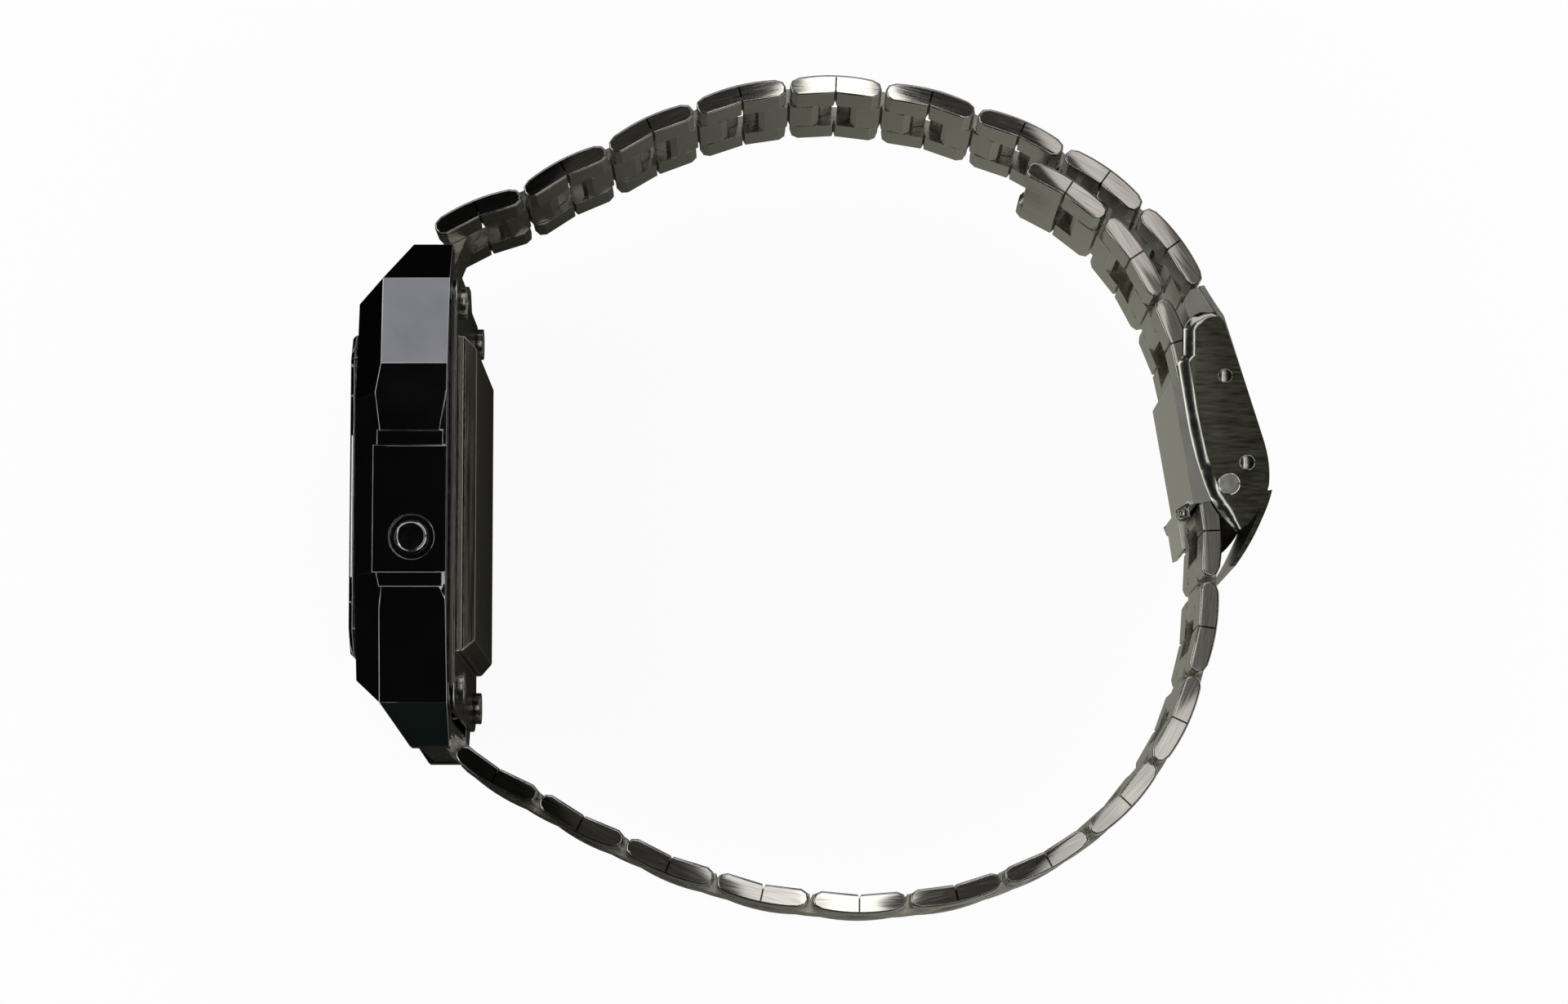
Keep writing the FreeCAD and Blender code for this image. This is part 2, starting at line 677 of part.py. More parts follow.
def outer_links(unit, side, with_pin):
    left, right, angle = unit
    outline = place_stretches(midpoint(left, right), angle, side, link_outline())
    near = curved_prism(outline, HALF_CENTRE, HALF_STRAP)
    far = curved_prism(outline, -HALF_STRAP, -HALF_CENTRE)
    if not with_pin:
        return [near, far]
    return [near.fuse(far).fuse(pin(left, PIN_R, -HALF_CENTRE, HALF_CENTRE))]


def end_block(unit, side):
    """Half centre link that fills the free end of the strap."""
    left, right, angle = unit
    end = HALF_LINK - END_ROUND
    start = LINK_GAP / 2
    face = [(start, CROWN), (end, CROWN_END), (HALF_LINK - LINK_GAP, -0.1), (end, -LOBE), (start, SEAM_N)]
    return prism(place(midpoint(left, right), angle, side, face), -HALF_CENTRE, HALF_CENTRE)


def strap_unit(units, count, side, tail_pin, with_pin):
    """One link unit: two outer links on their pin, and the centre link they carry."""
    solids = outer_links(units[count], side, with_pin)
    next_pin = units[count + 1][0] if count + 1 < len(units) else tail_pin
    if next_pin:
        solids.append(centre_link(units[count][1], next_pin, side))
    else:
        solids.append(end_block(units[count], side))
    return Part.makeCompound(solids)


def tongue_outline(bar, first_pin):
    """Four-sided arm between the spring bar and the first pin, as thick as the lobes."""
    run = (first_pin[0] - bar[0], first_pin[1] - bar[1])
    length = math.hypot(run[0], run[1])
    across = (-run[1] / length * LOBE_R, run[0] / length * LOBE_R)
    ends = [(bar, 1), (first_pin, 1), (first_pin, -1), (bar, -1)]
    return [(point[0] + sign * across[0], point[1] + sign * across[1]) for point, sign in ends]


def end_lip(first_pin, side):
    """The far half of a centre link, turned a little off the first link."""
    first = UPPER[0] if side > 0 else LOWER[0]
    angle = first + side * LIP_TURN
    along = heading(angle)
    middle = (first_pin[0] - along[0] * PITCH / 4, first_pin[1] - along[1] * PITCH / 4)
    whole = curved_prism(place_stretches(middle, angle, side, centre_outline()), -RUN_HALF, RUN_HALF)
    reach = [(LIP_FROM, -PITCH), (PITCH, -PITCH), (PITCH, PITCH), (LIP_FROM, PITCH)]
    return whole.common(prism(place(middle, angle, side, reach), -RUN_HALF, RUN_HALF))


def end_piece(side):
    """Wide block on the spring bar with a tongue round the first strap pin."""
    bar = (-side * BAR_X, -BAR_Y)
    first_pin = end_pin(side)
    front = [(-0.2, -1.5), (1.0, -1.55), (1.7, -0.8), (1.7, 1.2), (0.9, 1.75), (-0.2, 1.5)]
    block = [(bar[0] - side * u, bar[1] + v) for u, v in front]
    half = STRAP_WIDTH / 2 - PIN_PLAY
    wide = prism(block, -half, half).fuse(rod(bar, BLOCK_R, -half, half))
    wide = wide.cut(rod(first_pin, END_SWEEP, -STRAP_WIDTH, STRAP_WIDTH))
    arm = prism(tongue_outline(bar, first_pin), -RUN_HALF, RUN_HALF)
    piece = wide.fuse(arm).fuse(end_lip(first_pin, side))
    piece = piece.cut(pin(first_pin, hole_radius(PIN_R + PIN_PLAY), -STRAP_WIDTH, STRAP_WIDTH))
    return piece.cut(pin(bar, hole_radius(BAR_R + BAR_PLAY), -STRAP_WIDTH, STRAP_WIDTH)).removeSplitter()


def spring_bar(side):
    bar = (-side * BAR_X, -BAR_Y)
    body = STRAP_WIDTH / 2
    tip = body + LUG_PLAY + BAR_TIP_LENGTH
    return pin(bar, BAR_R, -body, body).fuse(pin(bar, BAR_TIP_R, -tip, tip)).removeSplitter()


CLASP_LEFT, CLASP_RIGHT, CLASP_ANGLE = LOWER_UNITS[CLASP_UNIT - 1]
CLASP_MIDDLE = midpoint(CLASP_LEFT, CLASP_RIGHT)


def clasp(points):
    """Points along and outward from the gripped unit, brought into the frame."""
    return place(CLASP_MIDDLE, CLASP_ANGLE, -1, points)


def both_sides(points, z0, z1):
    return prism(points, z0, z1).fuse(prism(points, -z1, -z0))


def arcs(points):
    """A bent line of (s, n) points as arcs, each through three points in a row."""
    return [points[count:count + 3] for count in range(0, len(points) - 1, 2)]


def sheet(line, thickness):
    """Bent sheet of even thickness below a curved line of (s, n) points."""
    under = [(s, n - thickness) for s, n in reversed(line)]
    stretches = arcs(line) + [[line[-1], under[0]]] + arcs(under) + [[under[-1], line[0]]]
    return [clasp(points) for points in stretches]


def bore_through(shape, s, n, radius):
    return shape.cut(pin(clasp([(s, n)])[0], radius, -STRAP_WIDTH, STRAP_WIDTH))


def clasp_wall():
    """Leaf-shaped side wall: round heel, hollow underside, pointed tip, crowned top."""
    heel = [[(9.1, 2.7), (9.3, 1.8), (8.2, 0.15)]]
    steps = [[(8.2, 0.15), (6.3, -0.2)], [(6.3, -0.2), (5.65, -0.75)], [(5.65, -0.75), (1.3, -0.8)]]
    under = arcs([(1.3, -0.8), (-1.8, -0.65), (-4.9, -0.15), (-6.5, 0.55), (-7.9, 1.45)])
    tip = [[(-7.9, 1.45), (-7.55, 2.25)]]
    shoulder = arcs([(-7.55, 2.25), (-6.3, 3.6), (-4.7, 4.5), (-3.0, 4.76), (-1.2, 4.65)])
    top = arcs([(-1.2, 4.65), (3.6, 4.0), (8.3, 3.3)])
    corner = [[(8.3, 3.3), (9.1, 2.7)]]
    return [clasp(points) for points in heel + steps + under + tip + shoulder + top + corner]


def make_clasp_body():
    """Two side walls joined at the strap mouth by a curved lip."""
    outline = clasp_wall()
    walls = curved_prism(outline, WALL_IN, WALL_OUT).fuse(curved_prism(outline, -WALL_OUT, -WALL_IN))
    lip = [(-10.5, 0.85), (-9.1, 2.15), (-7.1, 3.6), (-6.2, 4.17), (-5.2, 4.65)]
    body = walls.fuse(curved_prism(sheet(lip, LIP_SHEET), -WALL_OUT, WALL_OUT))
    body = bore_through(body, HINGE_S, HINGE_N, PIN_R)
    body = bore_through(body, CATCH_S, CATCH_N, CATCH_R)
    return bore_through(body, RIVET_S, RIVET_N, PIN_R).removeSplitter()


def make_clasp_inner_plate():
    """Channel under the strap, with ears riveted inside the side walls."""
    top = INNER_N + INNER_PLATE
    floor = [(-5.2, INNER_N), (4.6, INNER_N), (4.6, top), (-5.2, top)]
    ear = [(-5.2, INNER_N), (4.6, INNER_N), (4.6, 0.4), (-2.4, 0.6)]
    ear += [(-3.0, 2.0), (-3.7, 2.6), (-4.8, 2.6), (-5.3, 1.9)]
    plate = prism(clasp(floor), -WALL_IN, WALL_IN).fuse(both_sides(clasp(ear), EAR_IN, WALL_IN))
    knuckle = [(-5.2, INNER_N), (-4.9, top), (-4.6, INNER_N), (LEVER_S + 0.3, LEVER_N - LEVER_BOSS_R)]
    knuckle += [(LEVER_S - 0.4, LEVER_N - 0.45), (LEVER_S - 0.4, LEVER_N + 0.45)]
    start = LEVER_HALF + LEVER_PLAY
    plate = plate.fuse(both_sides(clasp(knuckle), start, start + KNUCKLE))
    plate = bore_through(plate, LEVER_S, LEVER_N, LEVER_PIN_R)
    return bore_through(plate, RIVET_S, RIVET_N, PIN_R).removeSplitter()


def cut_catch(flanges):
    """Open notch in each flange that snaps over the catch pin."""
    half = CATCH_R + CATCH_PLAY
    low = CATCH_S - half
    high = CATCH_S + half
    notch = [(low, 0), (high, 0), (high, CATCH_N), (low, CATCH_N)]
    flanges = flanges.cut(prism(clasp(notch), -STRAP_WIDTH, STRAP_WIDTH))
    return bore_through(flanges, CATCH_S, CATCH_N, hole_radius(half))


def make_clasp_cover():
    """Outer plate with two flanges, hinged low on the walls and pinned to the strap."""
    main = [(8.8, 3.45), (3.6, 4.15), (-1.2, 4.78), (-1.6, 4.82), (-2.0, 4.84)]
    nose = [(11.4, 2.35), (10.1, 2.86), (8.8, 3.45)]
    plate = curved_prism(sheet(main, SHEET), -COVER_HALF, COVER_HALF)
    plate = plate.fuse(curved_prism(sheet(nose, SHEET), -COVER_HALF, COVER_HALF))
    flange = [(8.8, 3.1), (5.35, 3.55), (2.7, 3.9), (-1.2, 4.45), (-2.0, 4.5), (-2.9, 4.2), (-3.75, 3.5)]
    flange += [(-3.75, 2.7), (-3.0, 2.15), (-1.8, 2.3), (3.0, 2.2), (5.2, 2.2), (8.0, 2.2)]
    flanges = cut_catch(both_sides(clasp(flange), FLANGE_IN, COVER_HALF))
    lug = [(11.3, 1.3), (11.4, 2.1), (11.1, 2.4), (9.6, 2.8), (8.4, 3.2)]
    lug += [(7.9, 3.1), (8.0, 1.6), (8.8, 0.9), (9.8, 0.7), (10.8, 0.85)]
    cover = plate.fuse(flanges).fuse(both_sides(clasp(lug), HALF_CENTRE, LUG_OUT))
    mouth = [(7.6, 0), (13, 0), (13, 6), (7.6, 6)]
    cover = cover.cut(prism(clasp(mouth), -HALF_CENTRE, HALF_CENTRE))
    cover = cover.fuse(pin(CLASP_TAIL, PIN_R, -HALF_CENTRE, HALF_CENTRE))
    return bore_through(cover, HINGE_S, HINGE_N, hole_radius(PIN_R + PIN_PLAY)).removeSplitter()


def make_clasp_pin(s, n, radius):
    point = clasp([(s, n)])[0]
    heads = both_rods(point, radius + PIN_HEAD, WALL_OUT, WALL_OUT + RIVET_PROUD)
    return pin(point, radius, -WALL_OUT, WALL_OUT).fuse(heads).removeSplitter()


def both_rods(point, radius, z0, z1):
    return rod(point, radius, z0, z1).fuse(rod(point, radius, -z1, -z0))


def make_clasp_rivets():
    point = clasp([(RIVET_S, RIVET_N)])[0]
    heads = both_rods(point, RIVET_R, WALL_OUT, WALL_OUT + RIVET_PROUD)
    shanks = pin(point, PIN_R, EAR_IN, WALL_OUT).fuse(pin(point, PIN_R, -WALL_OUT, -EAR_IN))
    return heads.fuse(shanks).removeSplitter()


def make_clamp_lever():
    """Small lever on the wrist side that presses the clamp bar into a link seam."""
    pivot = clasp([(LEVER_S, LEVER_N)])[0]
    outline = [(0, -0.45), (0.2, 0.3), (-2.6, -0.05), (-2.7, -0.5)]
    blade = clasp([(LEVER_S + s, LEVER_N + n) for s, n in outline])
    lever = prism(blade, -LEVER_HALF, LEVER_HALF)
    lever = lever.fuse(rod(pivot, LEVER_BOSS_R, -LEVER_HALF, LEVER_HALF))
    return bore_through(lever, LEVER_S, LEVER_N, hole_radius(LEVER_PIN_R + PIN_PLAY)).removeSplitter()


def make_lever_pin():
    reach = LEVER_HALF + LEVER_PLAY + KNUCKLE
    return pin(clasp([(LEVER_S, LEVER_N)])[0], LEVER_PIN_R, -reach, reach)


def make_clamp_bar():
    """Ridged bar on the inner plate that stands in a link seam."""
    foot = [(-0.7, INNER_N + INNER_PLATE), (0.7, INNER_N + INNER_PLATE)]
    ridge = [(0.7, -0.64), (0.14, -0.58), (0, -0.35), (-0.14, -0.58), (-0.7, -0.64)]
    return prism(clasp(foot + ridge), -HALF_STRAP, HALF_STRAP)


last_right = UPPER_UNITS[-1][1]
tail = heading(UPPER_TAIL)
CLASP_TAIL = (last_right[0] + tail[0] * PITCH / 2, last_right[1] + tail[1] * PITCH / 2)

save(make_case(), "case")
save(make_crystal(), "crystal")
save(make_mask(), "dial_mask")
save(make_lcd(), "display_glass")
save(make_light_panel(), "light_panel")
save(make_zebra(), "contact_strips")
save(make_module_frame(), "module_frame")
save(make_board(), "circuit_board")
save(make_chip(), "chip")
save(make_quartz(), "quartz_can")
save(make_battery(), "battery")
save(make_battery_clip(), "battery_clip")
save(make_back(), "case_back")
save(make_sounder(), "sounder_disc")
save(make_gasket(), "back_gasket")
save(make_screws(), "back_screws")
for name, x, side in BUTTONS:
    save(make_button(x, side), name + "_button")
    save(make_button_clip(x, side), name + "_button_clip")
save(Part.makeCompound([make_spring(x, side) for name, x, side in BUTTONS]), "button_springs")
save(Part.makeCompound([spring_bar(1), spring_bar(-1)]), "spring_bars")
save(end_piece(1), "upper_end_piece")
save(end_piece(-1), "lower_end_piece")
for count in range(len(UPPER)):
    save(strap_unit(UPPER_UNITS, count, 1, CLASP_TAIL, True), "upper_link_%d" % (count + 1))
for count in range(len(LOWER)):
    save(strap_unit(LOWER_UNITS, count, -1, None, count + 1 != OPEN_UNIT), "lower_link_%d" % (count + 1))
save(make_clasp_body(), "clasp_body")
save(make_clasp_inner_plate(), "clasp_inner_plate")
save(make_clasp_cover(), "clasp_cover")
save(make_clasp_pin(HINGE_S, HINGE_N, PIN_R), "clasp_hinge_pin")
save(make_clasp_pin(CATCH_S, CATCH_N, CATCH_R), "clasp_catch_pin")
save(make_clasp_rivets(), "clasp_rivets")
save(make_clamp_lever(), "clamp_lever")
save(make_lever_pin(), "clamp_lever_pin")
save(make_clamp_bar(), "clamp_bar")
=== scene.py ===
import json
import math
import random
import bpy
from mathutils import Matrix, Vector

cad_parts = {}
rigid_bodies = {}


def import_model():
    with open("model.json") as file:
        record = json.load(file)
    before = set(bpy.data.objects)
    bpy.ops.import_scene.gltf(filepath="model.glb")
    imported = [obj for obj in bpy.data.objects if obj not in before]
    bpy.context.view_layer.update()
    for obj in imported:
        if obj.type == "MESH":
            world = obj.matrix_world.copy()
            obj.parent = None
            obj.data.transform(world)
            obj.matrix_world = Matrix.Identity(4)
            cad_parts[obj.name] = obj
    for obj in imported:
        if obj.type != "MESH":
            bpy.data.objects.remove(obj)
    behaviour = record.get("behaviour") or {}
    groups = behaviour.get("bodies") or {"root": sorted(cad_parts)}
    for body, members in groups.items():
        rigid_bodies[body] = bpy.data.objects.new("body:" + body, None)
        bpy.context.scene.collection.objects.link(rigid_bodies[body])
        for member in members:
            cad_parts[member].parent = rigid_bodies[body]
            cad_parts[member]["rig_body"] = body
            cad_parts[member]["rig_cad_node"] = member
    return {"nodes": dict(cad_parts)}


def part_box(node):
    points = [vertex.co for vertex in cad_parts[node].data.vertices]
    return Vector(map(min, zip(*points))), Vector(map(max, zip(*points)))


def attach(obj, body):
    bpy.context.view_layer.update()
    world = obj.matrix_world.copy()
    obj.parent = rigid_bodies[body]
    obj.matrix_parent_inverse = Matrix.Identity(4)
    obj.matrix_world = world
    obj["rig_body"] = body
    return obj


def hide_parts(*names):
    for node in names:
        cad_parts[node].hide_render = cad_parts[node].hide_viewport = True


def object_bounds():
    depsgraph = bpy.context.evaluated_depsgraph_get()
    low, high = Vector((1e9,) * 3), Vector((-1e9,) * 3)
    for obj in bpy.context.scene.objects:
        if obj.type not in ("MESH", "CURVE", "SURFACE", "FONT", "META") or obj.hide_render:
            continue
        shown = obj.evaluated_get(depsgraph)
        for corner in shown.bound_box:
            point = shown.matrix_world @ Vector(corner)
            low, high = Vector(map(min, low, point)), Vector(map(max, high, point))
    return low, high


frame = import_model()
cad_low, cad_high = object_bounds()
nodes = frame["nodes"]
MM = 0.001


# The camera
# It stands on the 3 o'clock side, nearly square to the flank, with the wrist side
# of the watch to the right and 12 o'clock up.
camera_place = Vector((43.7, 22.6, 391.0)) * MM
camera_target = Vector((-0.7, 23.55, 0.0)) * MM
forward = (camera_target - camera_place).normalized()
up = Vector((0, 1, 0)).cross(forward).normalized()
right = forward.cross(up)
bpy.ops.object.camera_add(location=camera_place)
camera = bpy.context.object
camera.matrix_world = Matrix((
    (right.x, up.x, -forward.x, camera_place.x),
    (right.y, up.y, -forward.y, camera_place.y),
    (right.z, up.z, -forward.z, camera_place.z),
    (0, 0, 0, 1),
))
camera.data.sensor_width = 36
camera.data.lens = 114.75
camera.data.clip_start = 0.01
camera.data.clip_end = 20
bpy.context.scene.camera = camera


# The case
# One moulding of hard resin, chrome plated and polished, so every facet is a mirror.
# Its edges are worn soft by the polish, and it carries all other pieces of the head.
def deselect():
    bpy.ops.object.select_all(action="DESELECT")


def take_copy(node):
    """A copy of a node's mesh, merged to clean faces, to be finished by hand."""
    deselect()
    piece = nodes[node].copy()
    piece.data = nodes[node].data.copy()
    bpy.context.scene.collection.objects.link(piece)
    piece.name = node + "_finished"
    del piece["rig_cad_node"]
    piece.parent = None
    piece.select_set(True)
    bpy.context.view_layer.objects.active = piece
    bpy.ops.object.mode_set(mode="EDIT")
    bpy.ops.mesh.select_all(action="SELECT")
    bpy.ops.mesh.remove_doubles(threshold=0.002 * MM)
    bpy.ops.mesh.dissolve_limited(angle_limit=math.radians(1))
    bpy.ops.mesh.normals_make_consistent(inside=False)
    bpy.ops.object.mode_set(mode="OBJECT")
    piece.data.materials.clear()
    return piece


def soften(piece, width, angle, edge_slot, flat_area):
    """Polished edges of an even width, on faces that stay flat between them."""
    piece.select_set(True)
    bpy.context.view_layer.objects.active = piece
    bpy.ops.object.shade_smooth()
    edge = piece.modifiers.new("edge", "BEVEL")
    edge.width = width
    edge.segments = 2
    edge.limit_method = "ANGLE"
    edge.angle_limit = math.radians(angle)
    edge.material = edge_slot
    bpy.ops.object.modifier_apply(modifier="edge")
    for face in piece.data.polygons:
        if abs(face.normal.z) > 0.999 or face.area > flat_area * MM * MM:
            face.use_smooth = False
    even = piece.modifiers.new("even", "WEIGHTED_NORMAL")
    even.weight = 100
    bpy.ops.object.modifier_apply(modifier="even")
    deselect()


def dress(piece, node):
    """The piece stands for its node and rides on its body."""
    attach(piece, nodes[node]["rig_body"])
    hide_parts(node)


def new_tree(name):
    material = bpy.data.materials.new(name)
    material.use_nodes = True
    tree = material.node_tree
    return material, tree, tree.nodes["Principled BSDF"]


def grain(tree, scale, detail, source):
    """Noise that is stretched along the grain, on object or link coordinates, in metres."""
    if source == "Object":
        place = tree.nodes.new("ShaderNodeTexCoord").outputs["Object"]
    else:
        attribute = tree.nodes.new("ShaderNodeAttribute")
        attribute.attribute_name = source
        place = attribute.outputs["Vector"]
    stretch = tree.nodes.new("ShaderNodeMapping")
    stretch.inputs["Scale"].default_value = scale
    noise = tree.nodes.new("ShaderNodeTexNoise")
    noise.inputs["Scale"].default_value = 1
    noise.inputs["Detail"].default_value = detail
    tree.links.new(place, stretch.inputs["Vector"])
    tree.links.new(stretch.outputs["Vector"], noise.inputs["Vector"])
    return noise.outputs["Fac"]


def shades(tree, value, dark, light):
    """Colours between a dark and a light one, by a value whose middle is one half."""
    ramp = tree.nodes.new("ShaderNodeValToRGB")
    ramp.color_ramp.elements[0].position = 0.3
    ramp.color_ramp.elements[1].position = 0.7
    ramp.color_ramp.elements[0].color = (*dark, 1)
    ramp.color_ramp.elements[1].color = (*light, 1)
    tree.links.new(value, ramp.inputs["Fac"])
    return ramp.outputs["Color"]


def spread(tree, value, low, high):
    """A value between one quarter and three quarters, spread from low to high."""
    span = tree.nodes.new("ShaderNodeMapRange")
    span.inputs["From Min"].default_value = 0.25
    span.inputs["From Max"].default_value = 0.75
    span.inputs["To Min"].default_value = low
    span.inputs["To Max"].default_value = high
    tree.links.new(value, span.inputs["Value"])
    return span.outputs["Result"]


def raised(tree, value, depth, shader):
    """Relief a little deep in metres, cut by the grain's value."""
    bump = tree.nodes.new("ShaderNodeBump")
    bump.inputs["Distance"].default_value = depth
    bump.inputs["Strength"].default_value = 1
    tree.links.new(value, bump.inputs["Height"])
    tree.links.new(bump.outputs["Normal"], shader.inputs["Normal"])


def metal(name, dark, light, smooth, rough, scale, depth, source="Object"):
    """Metal whose colour, gloss and surface all wander along one grain."""
    material, tree, shader = new_tree(name)
    shader.inputs["Metallic"].default_value = 1
    lines = grain(tree, scale, 5, source)
    tree.links.new(shades(tree, lines, dark, light), shader.inputs["Base Color"])
    tree.links.new(spread(tree, lines, smooth, rough), shader.inputs["Roughness"])
    raised(tree, lines, depth, shader)
    return material


case_chrome = metal("case_chrome", (0.30, 0.31, 0.33), (0.40, 0.41, 0.43), 0.03, 0.08,
                    (220, 220, 220), 0.0004 * MM)
# Painted highlight: the polished edges of the case and the buttons are painted much lighter than the chrome faces
# beside them.
case_edge_highlight = metal("case_edge_highlight", (0.62, 0.63, 0.66), (0.72, 0.73, 0.76), 0.08, 0.16,
                  (900, 900, 900), 0.0004 * MM)
case = take_copy("case")
case.data.materials.append(case_chrome)
case.data.materials.append(case_edge_highlight)
for end in (-1, 1):
    for side in (-1, 1):
        deselect()
        case.select_set(True)
        bpy.context.view_layer.objects.active = case
        bpy.ops.object.mode_set(mode="EDIT")
        bpy.ops.mesh.select_all(action="SELECT")
        bpy.ops.mesh.bisect(plane_co=(end * 16.2 * MM, -6.9 * MM, side * 14.9 * MM),
                            plane_no=(end * 0.225, -0.74, side * 0.635), use_fill=True, clear_outer=True)
        bpy.ops.object.mode_set(mode="OBJECT")
soften(case, 0.12 * MM, 9.5, 1, 0.8)
dress(case, "case")


# The crystal
# A clear pressed pane with cut corners, glued into its seat so that it stands a
# little proud of the case, with a polished edge all round.
def finish_node(node, material):
    nodes[node].data.materials.clear()
    nodes[node].data.materials.append(material)


crystal_clear, tree, shader = new_tree("crystal_clear")
shader.inputs["Base Color"].default_value = (0.93, 0.95, 0.95, 1)
shader.inputs["Transmission Weight"].default_value = 1
shader.inputs["IOR"].default_value = 1.49
smears = grain(tree, (160, 160, 160), 3, "Object")
tree.links.new(spread(tree, smears, 0.01, 0.05), shader.inputs["Roughness"])
crystal = take_copy("crystal")
crystal.data.materials.append(crystal_clear)
soften(crystal, 0.06 * MM, 20, 0, 5)
dress(crystal, "crystal")


# The dial
# A thin printed sheet behind the crystal, black with two fine pale border lines
# round the window of the display.
dial_black, tree, shader = new_tree("dial_black")
print_tone = grain(tree, (2500, 2500, 2500), 2, "Object")
dial_shades = shades(tree, print_tone, (0.010, 0.010, 0.014), (0.022, 0.022, 0.028))
tree.links.new(dial_shades, shader.inputs["Base Color"])
tree.links.new(spread(tree, print_tone, 0.25, 0.35), shader.inputs["Roughness"])
finish_node("dial_mask", dial_black)

dial_line, tree, shader = new_tree("dial_line")
line_tone = grain(tree, (1800, 1800, 1800), 2, "Object")
line_shades = shades(tree, line_tone, (0.52, 0.53, 0.55), (0.66, 0.67, 0.69))
tree.links.new(line_shades, shader.inputs["Base Color"])
shader.inputs["Roughness"].default_value = 0.4


def border_line(name, half_x, half_z, width, front):
    """A printed outline: a plate, its middle inset and taken out, and a little height."""
    deselect()
    bpy.ops.mesh.primitive_plane_add(size=2, location=(0, front, 0), rotation=(math.radians(90), 0, 0))
    line = bpy.context.object
    line.name = name
    line.scale = (half_x, half_z, 1)
    bpy.ops.object.transform_apply(location=True, rotation=True, scale=True)
    bpy.ops.object.mode_set(mode="EDIT")
    bpy.ops.mesh.select_all(action="SELECT")
    bpy.ops.mesh.bevel(offset=2 * MM, affect="VERTICES")
    bpy.ops.mesh.inset(thickness=width)
    bpy.ops.mesh.delete(type="FACE")
    bpy.ops.mesh.select_all(action="SELECT")
    bpy.ops.mesh.extrude_region_move(TRANSFORM_OT_translate={"value": (0, -0.01 * MM, 0)})
    bpy.ops.mesh.select_all(action="SELECT")
    bpy.ops.mesh.normals_make_consistent(inside=False)
    bpy.ops.object.mode_set(mode="OBJECT")
    line.data.materials.append(dial_line)
    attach(line, "case")


mask_low, mask_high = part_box("dial_mask")
border_line("dial_outer_line", mask_high.x - 0.7 * MM, mask_high.z - 0.7 * MM, 0.22 * MM, mask_low.y - 0.01 * MM)
border_line("dial_inner_line", mask_high.x - 3.1 * MM, mask_high.z - 1.5 * MM, 0.12 * MM, mask_low.y - 0.01 * MM)


# The display
# A liquid crystal cell of two glass sheets, pale grey-green, whose dark segments show
# the hour, the date above it and the seconds beside it.
cell_green, tree, shader = new_tree("cell_green")
cell_tone = grain(tree, (500, 500, 500), 3, "Object")
cell_shades = shades(tree, cell_tone, (0.30, 0.33, 0.27), (0.36, 0.39, 0.32))
tree.links.new(cell_shades, shader.inputs["Base Color"])
tree.links.new(spread(tree, cell_tone, 0.18, 0.3), shader.inputs["Roughness"])
finish_node("display_glass", cell_green)

segment_dark, tree, shader = new_tree("segment_dark")
segment_tone = grain(tree, (3000, 3000, 3000), 2, "Object")
segment_shades = shades(tree, segment_tone, (0.012, 0.014, 0.016), (0.03, 0.032, 0.034))
tree.links.new(segment_shades, shader.inputs["Base Color"])
shader.inputs["Roughness"].default_value = 0.3

glass_low, glass_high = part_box("display_glass")
LIT = {"0": "abcdef", "1": "bc", "2": "abged", "3": "abgcd", "5": "afgcd", "6": "afgcde", "8": "abcdefg"}


def cut_segment(length, width):
    """One segment: a strip whose four corners are cut until its ends are points."""
    deselect()
    bpy.ops.mesh.primitive_plane_add(size=1, rotation=(math.radians(90), 0, 0))
    segment = bpy.context.object
    segment.scale = (length, width, 1)
    bpy.ops.object.transform_apply(location=True, rotation=True, scale=True)
    bpy.ops.object.mode_set(mode="EDIT")
    bpy.ops.mesh.select_all(action="SELECT")
    bpy.ops.mesh.bevel(offset=width * 0.48, affect="VERTICES")
    bpy.ops.mesh.extrude_region_move(TRANSFORM_OT_translate={"value": (0, -0.01 * MM, 0)})
    bpy.ops.mesh.select_all(action="SELECT")
    bpy.ops.mesh.normals_make_consistent(inside=False)
    bpy.ops.object.mode_set(mode="OBJECT")
    return segment


def show_digits(name, text, height, middle_x, left_z):
    """Figures in a row along Z, upright towards -X, each from copies of one segment."""
    length = height / 2 * 0.92
    width = height * 0.11
    segment = cut_segment(length, width)
    half = height / 2
    spots = {"a": (-half, 0, 1), "g": (0, 0, 1), "d": (half, 0, 1), "f": (-half / 2, -half / 2, 0),
             "b": (-half / 2, half / 2, 0), "e": (half / 2, -half / 2, 0), "c": (half / 2, half / 2, 0)}
    parts = []
    for place, figure in enumerate(text):
        for letter in LIT[figure]:
            along_x, along_z, level = spots[letter]
            middle_z = left_z + place * height * 0.78
            bar = segment.copy()
            bar.data = segment.data.copy()
            bpy.context.scene.collection.objects.link(bar)
            turn = Matrix.Rotation(math.radians(90 * level), 4, "Y")
            move = Matrix.Translation((middle_x + along_x, glass_low.y - 0.002 * MM, middle_z + along_z))
            bar.data.transform(move @ turn)
            parts.append(bar)
    bpy.data.objects.remove(segment)
    deselect()
    for bar in parts:
        bar.select_set(True)
    bpy.context.view_layer.objects.active = parts[0]
    bpy.ops.object.join()
    figures = bpy.context.object
    figures.name = name
    figures.data.materials.append(segment_dark)
    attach(figures, "case")


